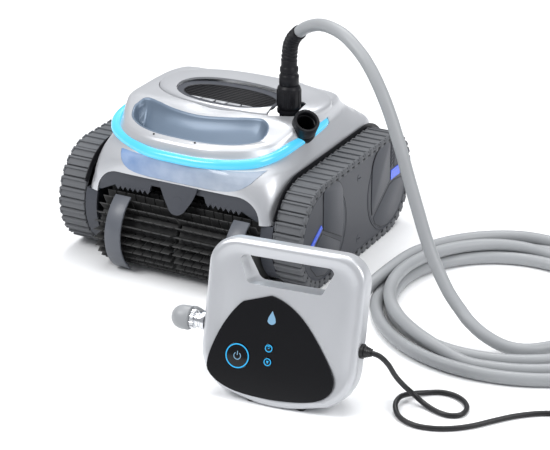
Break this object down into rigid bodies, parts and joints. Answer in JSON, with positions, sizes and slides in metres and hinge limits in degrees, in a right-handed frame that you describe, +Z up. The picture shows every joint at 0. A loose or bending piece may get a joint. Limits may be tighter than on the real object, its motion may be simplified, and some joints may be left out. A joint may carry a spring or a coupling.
{
  "type": "pool cleaner",
  "caption": "Tracked pool cleaning robot with roller brush, carrying slot, lit front bar, hinged lid and spray nozzle, joined by a long hose to a leaning control box with a power cord.",
  "frame": {"origin": "on the ground below the middle of the robot and control box", "axes": "+Z up, -Y the way the brush and the control panel face, +X to the right seen from the front"},
  "size_m": [0.969, 0.6611, 0.3816],
  "materials": {
    "silver_shell": "satin silver paint on moulded plastic",
    "pale_plastic": "satin",
    "frosted_window": "frosted",
    "glow_tube": "lit light tube",
    "grey_plastic": "satin",
    "dark_plastic": "satin",
    "track_rubber": "matte",
    "blue_accent": "gloss",
    "steel": "brushed",
    "motor_case": "satin black",
    "brass": "turned",
    "black_plastic": "satin",
    "brush_rubber": "matte",
    "panel_gloss": "gloss",
    "board": "solder mask",
    "chrome": "polished",
    "cord_rubber": "matte",
    "hose_vinyl": "satin"
  },
  "bodies": {
    "root": {"chassis_tub": "dark_plastic", "belly_plate": "dark_plastic", "upper_shell": "silver_shell", "handle_tray": "pale_plastic", "front_window": "frosted_window", "light_bar": "glow_tube", "front_scoop": "grey_plastic", "scoop_badge": "grey_plastic", "brush_guards": "grey_plastic", "side_guards": "grey_plastic", "track_belt_left": "track_rubber", "track_belt_right": "track_rubber", "side_cover_left": "grey_plastic", "side_cover_right": "grey_plastic", "front_hub_covers": "grey_plastic", "rear_hub_covers": "grey_plastic", "hub_accents": "blue_accent", "cover_screws": "steel", "rear_axles": "steel", "drive_motors": "motor_case", "pump_motor": "motor_case", "shaft_bushes": "brass", "filter_basket": "pale_plastic", "hose_socket": "black_plastic", "jet_nozzle": "black_plastic", "lid_hinge_pins": "steel", "box_front_shell": "silver_shell", "box_back_shell": "silver_shell", "control_panel": "panel_gloss", "box_circuit_board": "board", "power_transformer": "steel", "cable_gland": "cord_rubber", "hose_connector": "chrome", "box_feet": "cord_rubber", "hose_tail": "cord_rubber", "hose_tube": "hose_vinyl", "hose_run": "hose_vinyl", "hose_coil": "hose_vinyl", "power_cord": "cord_rubber", "power_cord_coil": "cord_rubber", "mains_plug": "cord_rubber"},
    "front_drive_left": {"front_wheel_left": "dark_plastic", "drive_shaft_left": "steel"},
    "front_drive_right": {"front_wheel_right": "dark_plastic", "drive_shaft_right": "steel"},
    "rear_idler_left": {"rear_wheel_left": "dark_plastic"},
    "rear_idler_right": {"rear_wheel_right": "dark_plastic"},
    "brush": {"brush_shaft": "steel", "brush_left": "brush_rubber", "brush_right": "brush_rubber"},
    "pump_rotor": {"impeller": "dark_plastic"},
    "lid": {"lid": "silver_shell", "outlet_grille": "black_plastic"},
    "flap_left": {"intake_flap_left": "black_plastic"},
    "flap_right": {"intake_flap_right": "black_plastic"},
    "nut": {"union_nut": "black_plastic"},
    "power_button": {"power_key": "panel_gloss"},
    "upper_button": {"mode_key_upper": "panel_gloss"},
    "lower_button": {"mode_key_lower": "panel_gloss"}
  },
  "joints": [
    {"name": "track_drive_left", "type": "hinge", "parent": "root", "child": "front_drive_left", "pos_m": [-0.28657, 0.03815, 0.08], "axis": [1, 0, 0], "continuous": true},
    {"name": "track_drive_right", "type": "hinge", "parent": "root", "child": "front_drive_right", "pos_m": [0.06143, 0.03815, 0.08], "axis": [1, 0, 0], "continuous": true},
    {"name": "track_idler_left", "type": "hinge", "parent": "root", "child": "rear_idler_left", "pos_m": [-0.28657, 0.24615, 0.08], "axis": [1, 0, 0], "continuous": true},
    {"name": "track_idler_right", "type": "hinge", "parent": "root", "child": "rear_idler_right", "pos_m": [0.06143, 0.24615, 0.08], "axis": [1, 0, 0], "continuous": true},
    {"name": "brush_spin", "type": "hinge", "parent": "root", "child": "brush", "pos_m": [-0.10757, -0.01485, 0.057], "axis": [1, 0, 0], "continuous": true},
    {"name": "impeller_spin", "type": "hinge", "parent": "root", "child": "pump_rotor", "pos_m": [-0.10857, 0.20815, 0.11], "axis": [0, 0, 1], "continuous": true},
    {"name": "lid_hinge", "type": "hinge", "parent": "root", "child": "lid", "pos_m": [-0.10657, 0.23615, 0.215], "axis": [-1, 0, 0], "range_deg": [0, 70]},
    {"name": "flap_swing_left", "type": "hinge", "parent": "root", "child": "flap_left", "pos_m": [-0.15857, 0.17015, 0.024], "axis": [-1, 0, 0], "range_deg": [0, 55]},
    {"name": "flap_swing_right", "type": "hinge", "parent": "root", "child": "flap_right", "pos_m": [-0.06657, 0.17015, 0.024], "axis": [-1, 0, 0], "range_deg": [0, 55]},
    {"name": "nut_turn", "type": "hinge", "parent": "root", "child": "nut", "pos_m": [-0.01557, 0.12115, 0.24], "axis": [0, 0, 1], "continuous": true},
    {"name": "power_press", "type": "slide", "parent": "root", "child": "power_button", "axis": [-0.101, 0.9606, -0.2588], "range_m": [0, 0.0008], "stiffness_N_per_m": 600},
    {"name": "upper_press", "type": "slide", "parent": "root", "child": "upper_button", "axis": [-0.101, 0.9606, -0.2588], "range_m": [0, 0.0008], "stiffness_N_per_m": 600},
    {"name": "lower_press", "type": "slide", "parent": "root", "child": "lower_button", "axis": [-0.101, 0.9606, -0.2588], "range_m": [0, 0.0008], "stiffness_N_per_m": 600}
  ],
  "couplings": [
    {"joint": "track_idler_left", "follows": "track_drive_left", "ratio": 1},
    {"joint": "track_idler_right", "follows": "track_drive_right", "ratio": 1}
  ]
}
